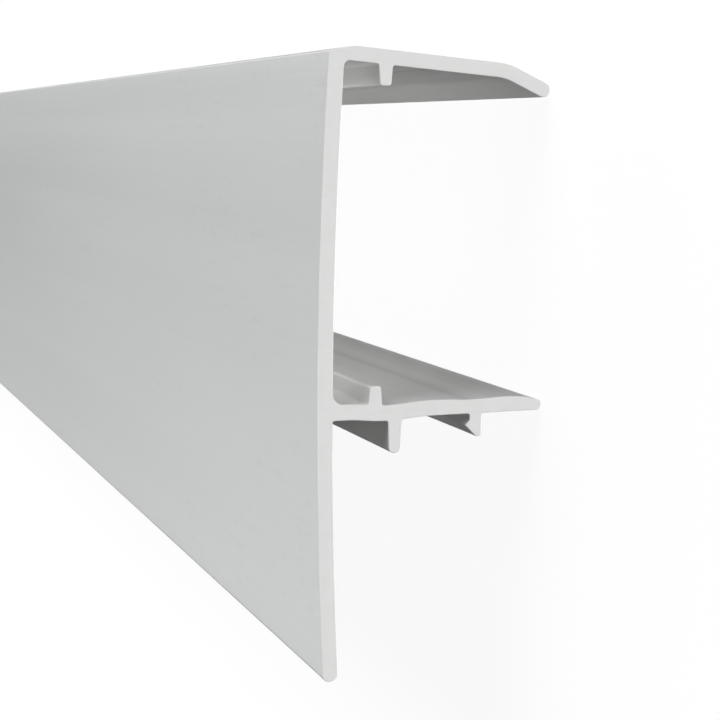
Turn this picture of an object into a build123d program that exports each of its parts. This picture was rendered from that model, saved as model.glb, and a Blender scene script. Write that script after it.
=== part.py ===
import os
from math import cos, radians, sin, tan

from build123d import *

# F-section glazing trim: one bar of extruded PVC. A sheet of multiwall glazing slides between the two
# flanges, the face covers its edge, and the skirt below hangs over what the sheet rests on.
# The section is drawn upright, as it is used: x is the depth behind the face and y the height above the
# skirt's free edge. The bar is stored lying on the edges of its two flanges, with the face on top.

# Bar
LENGTH = 2100.0

# Face: one wall, slightly bowed outwards
FACE_WALL = 1.3
FACE_BOW = 0.7
SKIRT = 21.15  # skirt's free edge to the underside of the seat flange

# Pocket between the flanges
SHEET = 25.0  # thickness of the sheet that it is sold for
SHEET_ROOM = 1.5  # spare height at the pocket's root
FLANGE_REACH = 18.9  # depth of both flanges behind the face's edges

# Seat flange, which the sheet rests on: its wall waves a little where the rib and the legs meet it
SEAT_WALL = 1.25
SEAT_SAG = 0.22  # between the rib and the plain leg
SEAT_DIP = 0.1  # over the barbed leg
SEAT_DROOP = 0.5  # at the free edge

# Nose flange, sprung towards the sheet and turned down at its edge
NOSE_WALL = 1.15
NOSE_LEAN = 4.3  # degrees below square
NOSE_TURN = 23.5  # degrees below square, past the bend
NOSE_LIP = 3.7  # depth of the turned edge, from the bend
NOSE_BEND_RADIUS = 5.0
RIDGE_DEPTH = 2.1
RIDGE_RISE = 0.4  # from the face's upper edge to the ridge
RIDGE_RADIUS = 3.0

# Stop ribs, one on each flange, which the sheet's edge meets
RIB_BASE = 1.25
RIB_TIP = 0.9
SEAT_RIB_DEPTH = 4.2
SEAT_RIB_HEIGHT = 1.35
NOSE_RIB_DEPTH = 4.7
NOSE_RIB_HEIGHT = 1.8

# Clip legs under the seat flange: a plain one and a barbed one
LEG_BASE = 1.25
LEG_TIP = 0.95
LEG_DEPTH = 5.9
LEG_LENGTH = 2.85
BARB_LEG_WALL = 1.05
BARB_LEG_DEPTH = 12.45  # to the side that faces the plain leg
BARB_LEG_LENGTH = 1.9
BARB_REACH = 0.38
BARB_DROP = 0.95  # from the flange to the barb's point
BARB_LEG_END = 0.45  # width of the leg's flat end

# Rounds: a full one takes nearly half the wall that it ends
FULL_ROUND = 0.48
SEAT_ROOT_RADIUS = 0.95
NOSE_ROOT_RADIUS = 0.5
FOOT_RADIUS = 0.2
RIB_ROUND = 0.25
EDGE_ROUND = 0.2
SEAT_EDGE_ROUND = 0.45
BARB_ROUND = 0.1

# Heights and angles that follow from these
seat_under = SKIRT
seat_top = seat_under + SEAT_WALL
roof = seat_top + SHEET + SHEET_ROOM
ridge = roof + NOSE_WALL
face_edge = ridge - RIDGE_RISE
lean = radians(NOSE_LEAN)
turn = radians(NOSE_TURN)


def bow(height):
    """How far the face stands out at a height."""
    middle = face_edge / 2
    return FACE_BOW * (1 - ((height - middle) / middle) ** 2)


def roof_at(depth):
    """Height of the nose flange's underside at a depth."""
    return ridge - NOSE_WALL / cos(lean) - (depth - RIDGE_DEPTH) * tan(lean)


def tapered(depth, foot, end, base, tip):
    """Corners of a tapered rib or leg, from the height of its foot to that of its free end."""
    return (
        (depth - base / 2, foot),
        (depth + base / 2, foot),
        (depth + tip / 2, end),
        (depth - tip / 2, end),
    )


def round_off(radius, *points):
    """Round the corners of the section that lie nearest to the points."""
    corners = section.vertices()
    fillet([corners.sort_by_distance(Vector(*point))[0] for point in points], radius)


# Nose flange: its outer side runs over the ridge and the bend to the edge, its underside runs back
bend_depth = FLANGE_REACH - NOSE_LIP
bend = Vector(bend_depth, ridge - (bend_depth - RIDGE_DEPTH) * tan(lean))
mid_lean = (lean + turn) / 2
bend_under = bend - Vector(sin(mid_lean), cos(mid_lean)) * (NOSE_WALL / cos((turn - lean) / 2))
lip_round = FULL_ROUND * NOSE_WALL
lip_depth = FLANGE_REACH + lip_round * (cos(turn) + sin(turn) - 1)
lip_top = Vector(lip_depth, bend.Y - (lip_depth - bend_depth) * tan(turn))
lip_under = lip_top - Vector(sin(turn), cos(turn)) * NOSE_WALL
nose_root = FACE_WALL / 2 - bow(roof)

# Seat flange: the depths that its wave passes through
seat_root = FACE_WALL / 2 - bow(seat_under)
barb_back = BARB_LEG_DEPTH + BARB_LEG_WALL
wave_start = FACE_WALL - bow(seat_top) + 1.1 * SEAT_ROOT_RADIUS
sag_depth = (SEAT_RIB_DEPTH + LEG_DEPTH) / 2
dip_depth = BARB_LEG_DEPTH + BARB_LEG_WALL / 2
crest_depth = (sag_depth + dip_depth) / 2
edge_crest_depth = (dip_depth + FLANGE_REACH) / 2

# Ribs and legs start inside the wall that carries them
seat_middle = seat_under + SEAT_WALL / 2
seat_rib = tapered(SEAT_RIB_DEPTH, seat_middle, seat_top + SEAT_RIB_HEIGHT, RIB_BASE, RIB_TIP)
nose_rib = tapered(NOSE_RIB_DEPTH, roof + NOSE_WALL / 4, roof - NOSE_RIB_HEIGHT, RIB_BASE, RIB_TIP)
leg = tapered(LEG_DEPTH, seat_middle, seat_under - LEG_LENGTH, LEG_BASE, LEG_TIP)
barb_leg = (
    (BARB_LEG_DEPTH, seat_middle),
    (BARB_LEG_DEPTH, seat_under - BARB_DROP + BARB_REACH),
    (BARB_LEG_DEPTH - BARB_REACH, seat_under - BARB_DROP),
    (barb_back - BARB_LEG_END, seat_under - BARB_LEG_LENGTH),
    (barb_back, seat_under - BARB_LEG_LENGTH),
    (barb_back, seat_middle),
)

# The section's x axis points down at the floor, and its y axis along +X
section_plane = Plane(origin=(-ridge / 2, 0, FLANGE_REACH), x_dir=(0, 0, -1), z_dir=(0, -1, 0))

with BuildPart() as f_section:
    with BuildSketch(section_plane) as section:
        # Face wall with its skirt
        with BuildLine():
            outside = ThreePointArc((0, face_edge), (-FACE_BOW, face_edge / 2), (0, 0))
            inside = ThreePointArc(
                (FACE_WALL, 0), (FACE_WALL - FACE_BOW, face_edge / 2), (FACE_WALL, face_edge)
            )
            Line(outside @ 1, inside @ 0)
            Line(inside @ 1, outside @ 0)
        make_face()

        # Nose flange
        Polygon(
            (0, face_edge),
            (RIDGE_DEPTH, ridge),
            bend,
            lip_top,
            lip_under,
            bend_under,
            (nose_root, roof_at(nose_root)),
            align=None,
        )

        # Seat flange
        with BuildLine():
            Line((seat_root, seat_under), (seat_root, seat_top))
            Line((seat_root, seat_top), (wave_start, seat_top))
            top = Spline(
                (wave_start, seat_top),
                (sag_depth, seat_top - SEAT_SAG),
                (crest_depth, seat_top),
                (dip_depth, seat_top - SEAT_DIP),
                (edge_crest_depth, seat_top),
                (FLANGE_REACH, seat_top - SEAT_DROOP),
                tangents=((1, 0), (1, -2 * SEAT_DROOP / (FLANGE_REACH - edge_crest_depth))),
            )
            Line(top @ 1, (FLANGE_REACH, seat_under))
            Line((FLANGE_REACH, seat_under), (crest_depth, seat_under))
            Spline(
                (crest_depth, seat_under),
                (sag_depth, seat_under - SEAT_SAG),
                (wave_start, seat_under),
                tangents=((-1, 0), (-1, 0)),
            )
            Line((wave_start, seat_under), (seat_root, seat_under))
        make_face()

        # Ribs and legs
        for outline in (seat_rib, nose_rib, leg, barb_leg):
            Polygon(*outline, align=None)

        # Free edges
        round_off(FULL_ROUND * FACE_WALL, (0, 0), (FACE_WALL, 0))
        round_off(lip_round, lip_top, lip_under)
        round_off(SEAT_EDGE_ROUND, (FLANGE_REACH, seat_under))
        round_off(EDGE_ROUND, (FLANGE_REACH, seat_top - SEAT_DROOP), (0, face_edge))
        round_off(NOSE_BEND_RADIUS, bend)
        round_off(NOSE_BEND_RADIUS - NOSE_WALL, bend_under)
        round_off(RIDGE_RADIUS, (RIDGE_DEPTH, ridge))

        # Roots of the flanges
        round_off(SEAT_ROOT_RADIUS, (FACE_WALL - bow(seat_top), seat_top))
        round_off(NOSE_ROOT_RADIUS, (FACE_WALL - bow(roof), roof))
        round_off(FOOT_RADIUS, (FACE_WALL - bow(seat_under), seat_under))

        # Ribs and legs: rounded ends, and small rounds at the feet
        round_off(RIB_ROUND, seat_rib[2], seat_rib[3], nose_rib[2], nose_rib[3])
        round_off(FULL_ROUND * LEG_TIP, leg[2], leg[3])
        round_off(BARB_ROUND, *barb_leg[1:3])
        round_off(EDGE_ROUND, *barb_leg[3:5])
        for side in (-RIB_BASE / 2, RIB_BASE / 2):
            round_off(FOOT_RADIUS, (SEAT_RIB_DEPTH + side, seat_top - SEAT_SAG))
            round_off(FOOT_RADIUS, (NOSE_RIB_DEPTH + side, roof_at(NOSE_RIB_DEPTH)))
        for side in (-LEG_BASE / 2, LEG_BASE / 2):
            round_off(FOOT_RADIUS, (LEG_DEPTH + side, seat_under - SEAT_SAG))
        round_off(FOOT_RADIUS, (BARB_LEG_DEPTH, seat_under), (barb_back, seat_under))
    extrude(amount=LENGTH / 2, both=True)

f_section.part.label = "f_section"
os.makedirs("parts", exist_ok=True)
export_step(f_section.part, "parts/f_section.step")
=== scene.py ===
from math import ceil, cos, pi, radians, sin, tan

import bmesh
import bpy
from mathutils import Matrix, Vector

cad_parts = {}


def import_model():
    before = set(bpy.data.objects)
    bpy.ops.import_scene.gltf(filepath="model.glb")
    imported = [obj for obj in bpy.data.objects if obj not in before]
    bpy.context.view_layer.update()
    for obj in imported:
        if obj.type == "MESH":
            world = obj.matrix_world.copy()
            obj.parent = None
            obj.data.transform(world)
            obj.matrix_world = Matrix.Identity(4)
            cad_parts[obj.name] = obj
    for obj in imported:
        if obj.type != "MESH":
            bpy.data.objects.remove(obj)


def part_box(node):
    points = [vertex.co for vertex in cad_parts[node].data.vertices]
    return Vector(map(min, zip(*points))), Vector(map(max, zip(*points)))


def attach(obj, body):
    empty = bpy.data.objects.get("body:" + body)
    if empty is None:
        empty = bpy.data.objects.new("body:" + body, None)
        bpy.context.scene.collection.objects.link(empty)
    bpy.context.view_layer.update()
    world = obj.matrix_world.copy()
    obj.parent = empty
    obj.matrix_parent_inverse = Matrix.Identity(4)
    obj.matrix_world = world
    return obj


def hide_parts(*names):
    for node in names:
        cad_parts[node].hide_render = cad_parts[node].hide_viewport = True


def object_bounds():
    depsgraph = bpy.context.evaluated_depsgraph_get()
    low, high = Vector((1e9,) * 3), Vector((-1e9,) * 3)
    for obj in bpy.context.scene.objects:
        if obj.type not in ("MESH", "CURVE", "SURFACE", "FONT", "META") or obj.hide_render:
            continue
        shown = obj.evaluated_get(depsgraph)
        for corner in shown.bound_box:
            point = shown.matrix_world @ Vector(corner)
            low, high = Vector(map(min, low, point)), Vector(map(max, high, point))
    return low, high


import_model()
cad_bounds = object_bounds()
near_end = Vector((0, cad_bounds[0].y, 0))

# The section in millimetres and radians, with the names and values of the part's source. A point of it
# has its depth behind the face and its height above the skirt's free edge
MM_PER_METRE = 1000
FACE_WALL = 1.3
FACE_BOW = 0.7
SKIRT = 21.15
SHEET = 25.0
SHEET_ROOM = 1.5
FLANGE_REACH = 18.9
SEAT_WALL = 1.25
SEAT_SAG = 0.22
SEAT_DIP = 0.1
SEAT_DROOP = 0.5
NOSE_WALL = 1.15
NOSE_LEAN = radians(4.3)
NOSE_TURN = radians(23.5)
NOSE_LIP = 3.7
NOSE_BEND_RADIUS = 5.0
RIDGE_DEPTH = 2.1
RIDGE_RISE = 0.4
RIDGE_RADIUS = 3.0
RIB_BASE = 1.25
RIB_TIP = 0.9
SEAT_RIB_DEPTH = 4.2
SEAT_RIB_HEIGHT = 1.35
NOSE_RIB_DEPTH = 4.7
NOSE_RIB_HEIGHT = 1.8
LEG_BASE = 1.25
LEG_TIP = 0.95
LEG_DEPTH = 5.9
LEG_LENGTH = 2.85
BARB_LEG_WALL = 1.05
BARB_LEG_DEPTH = 12.45
BARB_LEG_LENGTH = 1.9
BARB_REACH = 0.38
BARB_DROP = 0.95
BARB_LEG_END = 0.45
FULL_ROUND = 0.48
SEAT_ROOT_RADIUS = 0.95
NOSE_ROOT_RADIUS = 0.5
FOOT_RADIUS = 0.2
RIB_ROUND = 0.25
EDGE_ROUND = 0.2
SEAT_EDGE_ROUND = 0.45
BARB_ROUND = 0.1
WAVE_OFFSET = 1.1  # from the face wall to the seat flange's wave, in root radii

# How finely the section's curves are drawn
ARC_STEP = radians(8)
BOW_STEP = 2.0
WAVE_STEP = 0.4

# Sawn ends: a trace of a broken edge, and where the mesh has rings, in millimetres from each end
SAW_EDGE = 0.04
RING_PLACES = (2, 6, 15, 40, 100, 250, 500, 800)

# Camera: the photograph's angle, and its place in metres from the middle of the near end's base
CAMERA_PLACE = Vector((0.01812, -0.11523, 0.06167))
CAMERA_TURN = (radians(-6.099), radians(68.491), radians(-88.037))
CAMERA_LENS = 80.0
CAMERA_SENSOR = 36.0
CAMERA_CLIP = (0.01, 50.0)

# Colours, roughness and gloss
PVC = (0.811, 0.811, 0.805)
PVC_ROUGHNESS = (0.40, 0.44)
SAWN_PVC = (0.84, 0.84, 0.833)
SAWN_ROUGHNESS = 0.6
SAWN_GLOSS = 0.4

# Noises of the materials: features per metre, stretch along each axis, detail and roughness
DIE_LINES = (2200, (1, 0.004, 1), 2, 0.5)
BROAD_LINES = (330, (1, 0.02, 1), 2, 0.5)
SCUFFS = (1200, (1, 0.25, 1), 2, 0.6)
HANDLED = (90, (1, 0.3, 1), 2, 0.5)
PATCHES = (30, (1, 0.4, 1), 2, 0.5)
BLADE_MARKS = (4200, (1, 1, 0.03), 2, 0.5)
MOTTLE = (800, (1, 1, 1), 3, 0.5)

# Values of a noise between which its shade changes, and the darkest shade of each mark
FULL_SPAN = (0.0, 1.0)
NOISE_SPAN = (0.3, 0.7)
SCUFF_SPAN = (0.57, 0.67)
HANDLED_SPAN = (0.5, 0.6)
DARK_PATCH_SPAN = (0.0, 0.5)
LINE_SHADE = 0.985
SCUFF_SHADE = 0.97
DARK_PATCH_SHADE = 0.91
PATCH_SHADE = 0.97
MOTTLE_SHADE = 0.97
LINE_HEIGHT = 0.00001  # of the die lines and the blade marks, in metres

# A darker patch on the outer face, some way along from the near end: its middle, measured as the
# camera's place is, and its half-lengths, in metres
DARK_PATCH_PLACE = Vector((0.006, 0.15, 0.0196))
DARK_PATCH_SIZE = (0.034, 0.14, 0.01)

# Lines inside the flanges, partly die lines and partly painted shade and painted highlight: where each
# flange's inner side is along X and how far off it still counts, and for each line its height above the
# floor, half-width and shade
SEAT_INSIDE = (-0.0026, 0.0006)
# Seat flange: a dark line that is painted shade of the dip over the barbed leg, a lighter band beside
# it that is a painted highlight, and a broad darker band towards the edge that is painted shade
SEAT_LINES_AND_SHADE = ((0.0068, 0.0008, 0.87), (0.0051, 0.0008, 1.05), (0.0025, 0.0025, 0.9))
NOSE_INSIDE = (0.0234, 0.0006)
# Nose flange: three narrow lines, dark, light and dark, for streaks on the roof, and a broad darker
# band that is painted shade where the nose rib shades the roof
NOSE_LINES_AND_SHADE = (
    (0.0124, 0.0003, 0.86),
    (0.0115, 0.0004, 1.05),
    (0.0106, 0.0004, 0.86),
    (0.0105, 0.0035, 0.93),
)

# Floor: its size in metres, how brightly it glows and how much of a shadow it shows
FLOOR_SIZE = 40
FLOOR_GLOW = 0.92
FLOOR_SHADE = 0.11

# Light: the floor is a light table that lets the lamps below it through. Each lamp has its azimuth and
# elevation in degrees, its strength, its spread in degrees and its colour
WORLD_LIGHT = 0.03
NEUTRAL = (1, 1, 1)
COOL = (0.977, 1, 0.995)
LAMPS = (
    ("nose_side", 90, 45, 2.15, 40, COOL),
    ("skirt_side", -90, 5, 0.3, 40, NEUTRAL),
    ("far_left", -150, 30, 0.54, 40, COOL),
    ("far_right", 150, 30, 0.8, 40, COOL),
    ("near_end", 0, -15, 1.8, 40, NEUTRAL),
    ("near_right", 45, -15, 0.85, 40, NEUTRAL),
    ("table", 0, -90, 0.85, 12, NEUTRAL),
    ("table_left", -90, -84, 1.4, 12, NEUTRAL),
)

# The table is opaque under the skirt and the clip channel: where that part ends along X, how far past
# the near end it starts along Y, its size, and how far it lies below the floor, in metres
OPAQUE_EDGE = -0.0045
OPAQUE_START = 0.001
OPAQUE_SIZE = 2.1
OPAQUE_DROP = 0.0001

# Heights in the section that follow from its sizes
seat_under = SKIRT
seat_top = seat_under + SEAT_WALL
roof = seat_top + SHEET + SHEET_ROOM
ridge = roof + NOSE_WALL
face_edge = ridge - RIDGE_RISE


def bow(height):
    """How far the face stands out at a height."""
    middle = face_edge / 2
    return FACE_BOW * (1 - ((height - middle) / middle) ** 2)


def roof_at(depth):
    """Height of the nose flange's underside at a depth."""
    return ridge - NOSE_WALL / cos(NOSE_LEAN) - (depth - RIDGE_DEPTH) * tan(NOSE_LEAN)


# Depths that the seat flange's wave passes through
wave_start = FACE_WALL - bow(seat_top) + WAVE_OFFSET * SEAT_ROOT_RADIUS
sag_depth = (SEAT_RIB_DEPTH + LEG_DEPTH) / 2
barb_back = BARB_LEG_DEPTH + BARB_LEG_WALL
dip_depth = BARB_LEG_DEPTH + BARB_LEG_WALL / 2
crest_depth = (sag_depth + dip_depth) / 2
edge_crest_depth = (dip_depth + FLANGE_REACH) / 2


def ease(depth, start, end):
    """0 at start to 1 at end, level at both."""
    return (1 - cos(pi * (depth - start) / (end - start))) / 2


def sag(depth):
    """How far the seat flange's wall hangs between its root and the crest past the plain leg."""
    if depth <= wave_start or depth >= crest_depth:
        return 0.0
    if depth < sag_depth:
        return SEAT_SAG * ease(depth, wave_start, sag_depth)
    return SEAT_SAG * (1 - ease(depth, sag_depth, crest_depth))


def seat_top_at(depth):
    """Height of the seat flange's top at a depth."""
    if depth <= crest_depth:
        return seat_top - sag(depth)
    if depth <= dip_depth:
        return seat_top - SEAT_DIP * ease(depth, crest_depth, dip_depth)
    if depth <= edge_crest_depth:
        return seat_top - SEAT_DIP * (1 - ease(depth, dip_depth, edge_crest_depth))
    return seat_top - SEAT_DROOP * ((depth - edge_crest_depth) / (FLANGE_REACH - edge_crest_depth)) ** 2


def seat_under_at(depth):
    """Height of the seat flange's underside at a depth."""
    return seat_under - sag(depth)


def between(start, end, step):
    """Evenly spaced values between two ends, without the ends."""
    count = max(2, ceil(abs(end - start) / step))
    return [start + (end - start) * i / count for i in range(1, count)]


def face_curve(depth, start, end):
    """Points on the face's outer or inner side, between two heights."""
    return [(depth - bow(h), h, 0) for h in between(start, end, BOW_STEP)]


def wave_curve(side, start, end):
    """Points on one side of the seat flange, between two depths, clear of the rounds at both."""
    clear = 2 * FOOT_RADIUS if end > start else -2 * FOOT_RADIUS
    ends = (start + clear, end - clear)
    return [(d, side(d), 0) for d in (ends[0], *between(*ends, WAVE_STEP), ends[1])]


def tapered(depth, foot, end, base, tip, surface):
    """Corners of a tapered rib or leg, from its foot on the deeper side round to that on the other."""

    def half(height):
        return (base + (tip - base) * (height - foot) / (end - foot)) / 2

    feet = [surface(depth + base / 2), surface(depth - base / 2)]
    return [
        (depth + half(feet[0]), feet[0]),
        (depth + tip / 2, end),
        (depth - tip / 2, end),
        (depth - half(feet[1]), feet[1]),
    ]


def with_radii(points, *radii):
    """Corners of the section: each point with the radius that rounds it."""
    return [(x, y, r) for (x, y), r in zip(points, radii)]


def nose_corners():
    """The nose flange from the face's upper edge round to the root of its rib."""
    bend_depth = FLANGE_REACH - NOSE_LIP
    bend = Vector((bend_depth, ridge - (bend_depth - RIDGE_DEPTH) * tan(NOSE_LEAN)))
    mid_lean = (NOSE_LEAN + NOSE_TURN) / 2
    across = NOSE_WALL / cos((NOSE_TURN - NOSE_LEAN) / 2)
    bend_under = bend - Vector((sin(mid_lean), cos(mid_lean))) * across
    lip_round = FULL_ROUND * NOSE_WALL
    lip_depth = FLANGE_REACH + lip_round * (cos(NOSE_TURN) + sin(NOSE_TURN) - 1)
    lip_top = Vector((lip_depth, bend.y - (lip_depth - bend_depth) * tan(NOSE_TURN)))
    lip_under = lip_top - Vector((sin(NOSE_TURN), cos(NOSE_TURN))) * NOSE_WALL
    return [
        (0, face_edge, EDGE_ROUND),
        (RIDGE_DEPTH, ridge, RIDGE_RADIUS),
        (*bend, NOSE_BEND_RADIUS),
        (*lip_top, lip_round),
        (*lip_under, lip_round),
        (*bend_under, NOSE_BEND_RADIUS - NOSE_WALL),
    ]


def section_corners():
    """Corners of the whole section with their radii, from the skirt's end up the face and back."""
    skirt_round = FULL_ROUND * FACE_WALL
    leg_round = FULL_ROUND * LEG_TIP
    rib_radii = (FOOT_RADIUS, RIB_ROUND, RIB_ROUND, FOOT_RADIUS)
    nose_rib = tapered(
        NOSE_RIB_DEPTH, roof + NOSE_WALL / 4, roof - NOSE_RIB_HEIGHT, RIB_BASE, RIB_TIP, roof_at
    )
    middle = seat_under + SEAT_WALL / 2
    seat_rib = tapered(
        SEAT_RIB_DEPTH, middle, seat_top + SEAT_RIB_HEIGHT, RIB_BASE, RIB_TIP, seat_top_at
    )[::-1]
    leg = tapered(LEG_DEPTH, middle, seat_under - LEG_LENGTH, LEG_BASE, LEG_TIP, seat_under_at)
    nose_root = roof_at(FACE_WALL)
    return [
        (0, 0, skirt_round),
        *face_curve(0, 0, face_edge),
        *nose_corners(),
        *with_radii(nose_rib, *rib_radii),
        (FACE_WALL - bow(nose_root), nose_root, NOSE_ROOT_RADIUS),
        *face_curve(FACE_WALL, nose_root, seat_top),
        (FACE_WALL - bow(seat_top), seat_top, SEAT_ROOT_RADIUS),
        *wave_curve(seat_top_at, wave_start, seat_rib[0][0]),
        *with_radii(seat_rib, *rib_radii),
        *wave_curve(seat_top_at, seat_rib[3][0], FLANGE_REACH),
        (FLANGE_REACH, seat_top - SEAT_DROOP, EDGE_ROUND),
        (FLANGE_REACH, seat_under, SEAT_EDGE_ROUND),
        (barb_back, seat_under, FOOT_RADIUS),
        (barb_back, seat_under - BARB_LEG_LENGTH, EDGE_ROUND),
        (barb_back - BARB_LEG_END, seat_under - BARB_LEG_LENGTH, EDGE_ROUND),
        (BARB_LEG_DEPTH - BARB_REACH, seat_under - BARB_DROP, BARB_ROUND),
        (BARB_LEG_DEPTH, seat_under - BARB_DROP + BARB_REACH, BARB_ROUND),
        (BARB_LEG_DEPTH, seat_under, FOOT_RADIUS),
        *wave_curve(seat_under_at, BARB_LEG_DEPTH, leg[0][0]),
        *with_radii(leg, FOOT_RADIUS, leg_round, leg_round, FOOT_RADIUS),
        *wave_curve(seat_under_at, leg[3][0], wave_start),
        (FACE_WALL - bow(seat_under), seat_under, FOOT_RADIUS),
        *face_curve(FACE_WALL, seat_under, 0),
        (FACE_WALL, 0, skirt_round),
    ]


def rounded(corners):
    """Points of a closed outline whose (x, y, radius) corners are drawn as arcs."""
    points = []
    for i, (x, y, radius) in enumerate(corners):
        corner = Vector((x, y))
        if not radius:
            points.append(corner)
            continue
        back = (Vector(corners[i - 1][:2]) - corner).normalized()
        on = (Vector(corners[(i + 1) % len(corners)][:2]) - corner).normalized()
        opening = back.angle(on)
        centre = corner + (back + on).normalized() * radius / sin(opening / 2)
        start = corner + back * radius / tan(opening / 2) - centre
        turn = start.angle_signed(corner + on * radius / tan(opening / 2) - centre)
        steps = max(2, ceil(abs(turn) / ARC_STEP))
        for step in range(steps + 1):
            angle = -turn * step / steps
            x_turned = start.x * cos(angle) - start.y * sin(angle)
            y_turned = start.x * sin(angle) + start.y * cos(angle)
            points.append(centre + Vector((x_turned, y_turned)))
    return points


def inset(points, distance):
    """The outline moved into the wall by a small distance."""
    moved = []
    for i, point in enumerate(points):
        along = (points[(i + 1) % len(points)] - points[i - 1]).normalized()
        moved.append(point + Vector((along.y, -along.x)) * distance)
    return moved


def place(points, along):
    """Section points at a place along the bar, in the frame's metres."""
    return [
        tuple(v / MM_PER_METRE for v in (y - ridge / 2, along, FLANGE_REACH - x))
        for x, y in points
    ]


def bar_mesh():
    """The bar as one closed mesh: rings along its length, and two sawn ends."""
    low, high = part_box("f_section")
    half = (high.y - low.y) / 2 * MM_PER_METRE
    outline = rounded(section_corners())
    edge = inset(outline, SAW_EDGE)
    near = [-half + p for p in (SAW_EDGE, *RING_PLACES)]
    rings = [place(edge, -half)]
    rings += [place(outline, along) for along in near + [0] + [-p for p in reversed(near)]]
    rings.append(place(edge, half))
    bm = bmesh.new()
    rows = [[bm.verts.new(p) for p in ring] for ring in rings]
    count = len(outline)
    for row, following in zip(rows, rows[1:]):
        for i in range(count):
            j = (i + 1) % count
            bm.faces.new((row[i], row[j], following[j], following[i])).smooth = True
    ends = [bm.faces.new(row) for row in (rows[0], rows[-1])]
    for face in ends:
        face.material_index = 1
    for row in (rows[0], rows[1], rows[-2], rows[-1]):
        for i in range(count):
            bm.edges.get((row[i], row[(i + 1) % count])).smooth = False
    bmesh.ops.recalc_face_normals(bm, faces=bm.faces)
    bmesh.ops.triangulate(bm, faces=ends)
    mesh = bpy.data.meshes.new("bar")
    bm.to_mesh(mesh)
    bm.free()
    return mesh


def principled(name, colour):
    """A material of one plain colour, with its nodes, its links and its Principled shader."""
    material = bpy.data.materials.new(name)
    material.use_nodes = True
    nodes, links = material.node_tree.nodes, material.node_tree.links
    shader = nodes["Principled BSDF"]
    shader.inputs["Base Color"].default_value = (*colour, 1)
    return material, nodes, links, shader


def noise(nodes, links, coords, scale, stretch, detail, roughness):
    """Noise in features per metre, fewer along an axis whose stretch is below 1."""
    mapping = nodes.new("ShaderNodeMapping")
    mapping.inputs["Scale"].default_value = stretch
    links.new(coords, mapping.inputs["Vector"])
    texture = nodes.new("ShaderNodeTexNoise")
    texture.inputs["Scale"].default_value = scale
    texture.inputs["Detail"].default_value = detail
    texture.inputs["Roughness"].default_value = roughness
    links.new(mapping.outputs["Vector"], texture.inputs["Vector"])
    return texture.outputs["Fac"]


def ranged(nodes, links, value, span, low, high):
    """A value mapped from a span of it to the range from low to high, and held inside that."""
    node = nodes.new("ShaderNodeMapRange")
    sockets = ("From Min", "From Max", "To Min", "To Max")
    for name, number in zip(sockets, (*span, low, high)):
        node.inputs[name].default_value = number
    links.new(value, node.inputs["Value"])
    return node.outputs["Result"]


def product(nodes, links, *values):
    """Values multiplied together."""
    result = values[0]
    for value in values[1:]:
        node = nodes.new("ShaderNodeMath")
        node.operation = "MULTIPLY"
        links.new(result, node.inputs[0])
        links.new(value, node.inputs[1])
        result = node.outputs["Value"]
    return result


def tinted(nodes, links, colour, shade):
    """A colour multiplied by a grey shade."""
    node = nodes.new("ShaderNodeMix")
    node.data_type = "RGBA"
    node.blend_type = "MULTIPLY"
    node.inputs["Factor"].default_value = 1
    node.inputs["A"].default_value = (*colour, 1)
    links.new(shade, node.inputs["B"])
    return node.outputs["Result"]


def darker_patch(nodes, links, coords):
    """1 in the middle of the darker patch on the outer face, fading to 0 at its edge."""
    mapping = nodes.new("ShaderNodeMapping")
    mapping.vector_type = "TEXTURE"
    mapping.inputs["Location"].default_value = near_end + DARK_PATCH_PLACE
    mapping.inputs["Scale"].default_value = DARK_PATCH_SIZE
    links.new(coords, mapping.inputs["Vector"])
    ball = nodes.new("ShaderNodeTexGradient")
    ball.gradient_type = "QUADRATIC_SPHERE"
    links.new(mapping.outputs["Vector"], ball.inputs["Vector"])
    return ball.outputs["Fac"]


def flange_lines_and_painted_shade(nodes, links, coords, inside, lines):
    """Shades of one flange's lines and painted shade and highlight, 1 away from them."""
    axes = nodes.new("ShaderNodeSeparateXYZ")
    links.new(coords, axes.inputs["Vector"])
    on_side = nodes.new("ShaderNodeMath")
    on_side.operation = "COMPARE"
    links.new(axes.outputs["X"], on_side.inputs[0])
    on_side.inputs[1].default_value, on_side.inputs[2].default_value = inside
    shades = []
    for height, half_width, shade in lines:
        span_below = (height - half_width, height)
        span_above = (height, height + half_width)
        rising = ranged(nodes, links, axes.outputs["Z"], span_below, 0, 1)
        falling = ranged(nodes, links, axes.outputs["Z"], span_above, 1, 0)
        line = product(nodes, links, rising, falling, on_side.outputs["Value"])
        shades.append(ranged(nodes, links, line, FULL_SPAN, 1, shade))
    return shades


def bumped(nodes, links, shader, height):
    """Fine relief on a material, as high as LINE_HEIGHT where the height is 1."""
    node = nodes.new("ShaderNodeBump")
    node.inputs["Distance"].default_value = LINE_HEIGHT
    node.inputs["Strength"].default_value = 1
    links.new(height, node.inputs["Height"])
    links.new(node.outputs["Normal"], shader.inputs["Normal"])


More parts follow.
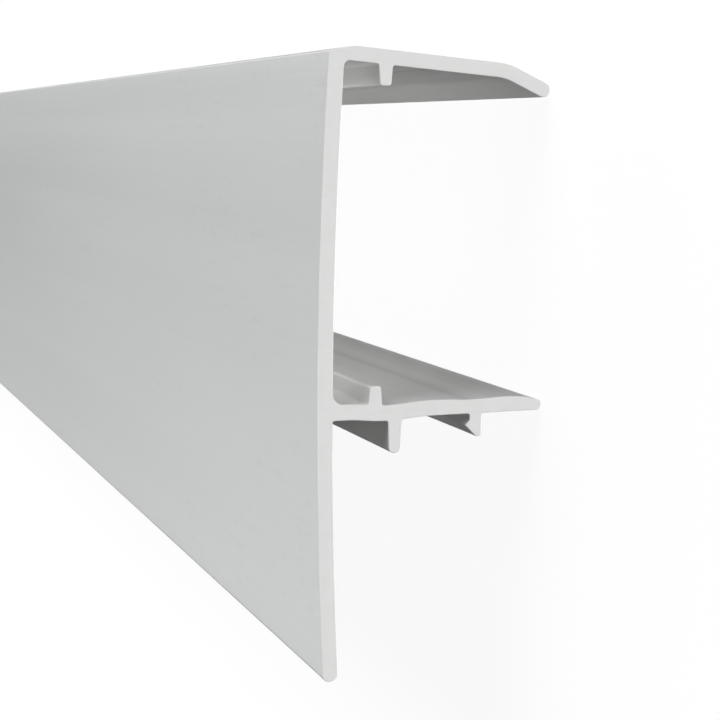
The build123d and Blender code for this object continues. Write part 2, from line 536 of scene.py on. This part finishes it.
def pvc():
    """Extruded skin: die lines, scuffs where it was handled, a darker patch, and lines with painted
    shade and highlight inside the flanges.
    """
    material, nodes, links, shader = principled("white_pvc_skin", PVC)
    coords = nodes.new("ShaderNodeTexCoord").outputs["Object"]
    lines = noise(nodes, links, coords, *DIE_LINES)
    broad_lines = noise(nodes, links, coords, *BROAD_LINES)
    scuffs = noise(nodes, links, coords, *SCUFFS)
    handled = noise(nodes, links, coords, *HANDLED)
    patches = noise(nodes, links, coords, *PATCHES)
    scuffed = product(
        nodes,
        links,
        ranged(nodes, links, scuffs, SCUFF_SPAN, 0, 1),
        ranged(nodes, links, handled, HANDLED_SPAN, 0, 1),
    )
    # The darker patch on the outer face, broken up by the patches noise
    dark_patch_mask = product(nodes, links, darker_patch(nodes, links, coords), patches)
    shade = product(
        nodes,
        links,
        ranged(nodes, links, lines, NOISE_SPAN, LINE_SHADE, 1),
        ranged(nodes, links, broad_lines, NOISE_SPAN, LINE_SHADE, 1),
        ranged(nodes, links, scuffed, FULL_SPAN, 1, SCUFF_SHADE),
        *flange_lines_and_painted_shade(nodes, links, coords, SEAT_INSIDE, SEAT_LINES_AND_SHADE),
        *flange_lines_and_painted_shade(nodes, links, coords, NOSE_INSIDE, NOSE_LINES_AND_SHADE),
        ranged(nodes, links, dark_patch_mask, DARK_PATCH_SPAN, 1, DARK_PATCH_SHADE),
        ranged(nodes, links, patches, NOISE_SPAN, PATCH_SHADE, 1),
    )
    links.new(tinted(nodes, links, PVC, shade), shader.inputs["Base Color"])
    roughness = ranged(nodes, links, broad_lines, NOISE_SPAN, *PVC_ROUGHNESS)
    links.new(roughness, shader.inputs["Roughness"])
    bumped(nodes, links, shader, lines)
    return material


def sawn():
    """Sawn end: matt and paler, with faint marks of the blade."""
    material, nodes, links, shader = principled("white_pvc_sawn", SAWN_PVC)
    shader.inputs["Roughness"].default_value = SAWN_ROUGHNESS
    shader.inputs["Specular IOR Level"].default_value = SAWN_GLOSS
    coords = nodes.new("ShaderNodeTexCoord").outputs["Object"]
    marks = noise(nodes, links, coords, *BLADE_MARKS)
    mottle = noise(nodes, links, coords, *MOTTLE)
    shade = product(
        nodes,
        links,
        ranged(nodes, links, marks, NOISE_SPAN, LINE_SHADE, 1),
        ranged(nodes, links, mottle, NOISE_SPAN, MOTTLE_SHADE, 1),
    )
    links.new(tinted(nodes, links, SAWN_PVC, shade), shader.inputs["Base Color"])
    bumped(nodes, links, shader, marks)
    return material


def bar():
    """The F-section bar, drawn more finely than the CAD node that it stands for."""
    piece = bpy.data.objects.new("f_section_bar", bar_mesh())
    bpy.context.scene.collection.objects.link(piece)
    piece.data.materials.append(pvc())
    piece.data.materials.append(sawn())
    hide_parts("f_section")
    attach(piece, "root")


def floor():
    """Pale floor, seen as white with a faint shadow."""
    bpy.ops.mesh.primitive_plane_add(size=FLOOR_SIZE, location=(0, 0, cad_bounds[0].z))
    plane = bpy.context.object
    plane.name = "floor"
    material = bpy.data.materials.new("floor")
    material.use_nodes = True
    nodes, links = material.node_tree.nodes, material.node_tree.links
    nodes.clear()
    shade = nodes.new("ShaderNodeBsdfDiffuse")
    shade.inputs["Color"].default_value = (FLOOR_SHADE, FLOOR_SHADE, FLOOR_SHADE, 1)
    glow = nodes.new("ShaderNodeEmission")
    glow.inputs["Strength"].default_value = FLOOR_GLOW
    seen = nodes.new("ShaderNodeAddShader")
    links.new(shade.outputs["BSDF"], seen.inputs[0])
    links.new(glow.outputs["Emission"], seen.inputs[1])
    output = nodes.new("ShaderNodeOutputMaterial")
    links.new(seen.outputs["Shader"], output.inputs["Surface"])
    plane.data.materials.append(material)
    for rays in ("diffuse", "glossy", "transmission", "shadow"):
        setattr(plane, "visible_" + rays, False)


def opaque_table():
    """Part of the table that only keeps the lamps below it off what lies over it."""
    middle = (
        OPAQUE_EDGE - OPAQUE_SIZE / 2,
        cad_bounds[0].y + OPAQUE_START + OPAQUE_SIZE / 2,
        cad_bounds[0].z - OPAQUE_DROP,
    )
    bpy.ops.mesh.primitive_plane_add(size=OPAQUE_SIZE, location=middle)
    plane = bpy.context.object
    plane.name = "opaque_table"
    for rays in ("camera", "diffuse", "glossy", "transmission"):
        setattr(plane, "visible_" + rays, False)


def world():
    """Soft light from all round, seen as white."""
    sky = bpy.data.worlds.new("studio")
    sky.use_nodes = True
    nodes, links = sky.node_tree.nodes, sky.node_tree.links
    seen = nodes.new("ShaderNodeLightPath").outputs["Is Camera Ray"]
    background = nodes["Background"]
    background.inputs["Color"].default_value = (1, 1, 1, 1)
    strength = ranged(nodes, links, seen, FULL_SPAN, WORLD_LIGHT, 1)
    links.new(strength, background.inputs["Strength"])
    bpy.context.scene.world = sky


def lamp(name, azimuth, elevation, strength, spread, colour):
    """A soft lamp with one direction: azimuth 0 is the near end's side, 90 is +X."""
    data = bpy.data.lights.new(name, "SUN")
    data.color = colour
    data.energy = strength
    data.angle = radians(spread)
    source = bpy.data.objects.new(name, data)
    across, up = radians(azimuth), radians(elevation)
    toward = Vector((-sin(across) * cos(up), cos(across) * cos(up), -sin(up)))
    source.rotation_mode = "QUATERNION"
    source.rotation_quaternion = toward.to_track_quat("-Z", "Y")
    bpy.context.scene.collection.objects.link(source)


def camera():
    """The photograph's view."""
    data = bpy.data.cameras.new("camera")
    data.lens = CAMERA_LENS
    data.sensor_width = CAMERA_SENSOR
    data.clip_start, data.clip_end = CAMERA_CLIP
    eye = bpy.data.objects.new("camera", data)
    eye.location = near_end + CAMERA_PLACE
    eye.rotation_euler = CAMERA_TURN
    bpy.context.scene.collection.objects.link(eye)
    bpy.context.scene.camera = eye


camera()
bar()
floor()
opaque_table()
world()
for values in LAMPS:
    lamp(*values)
bpy.context.scene.view_settings.view_transform = "Standard"
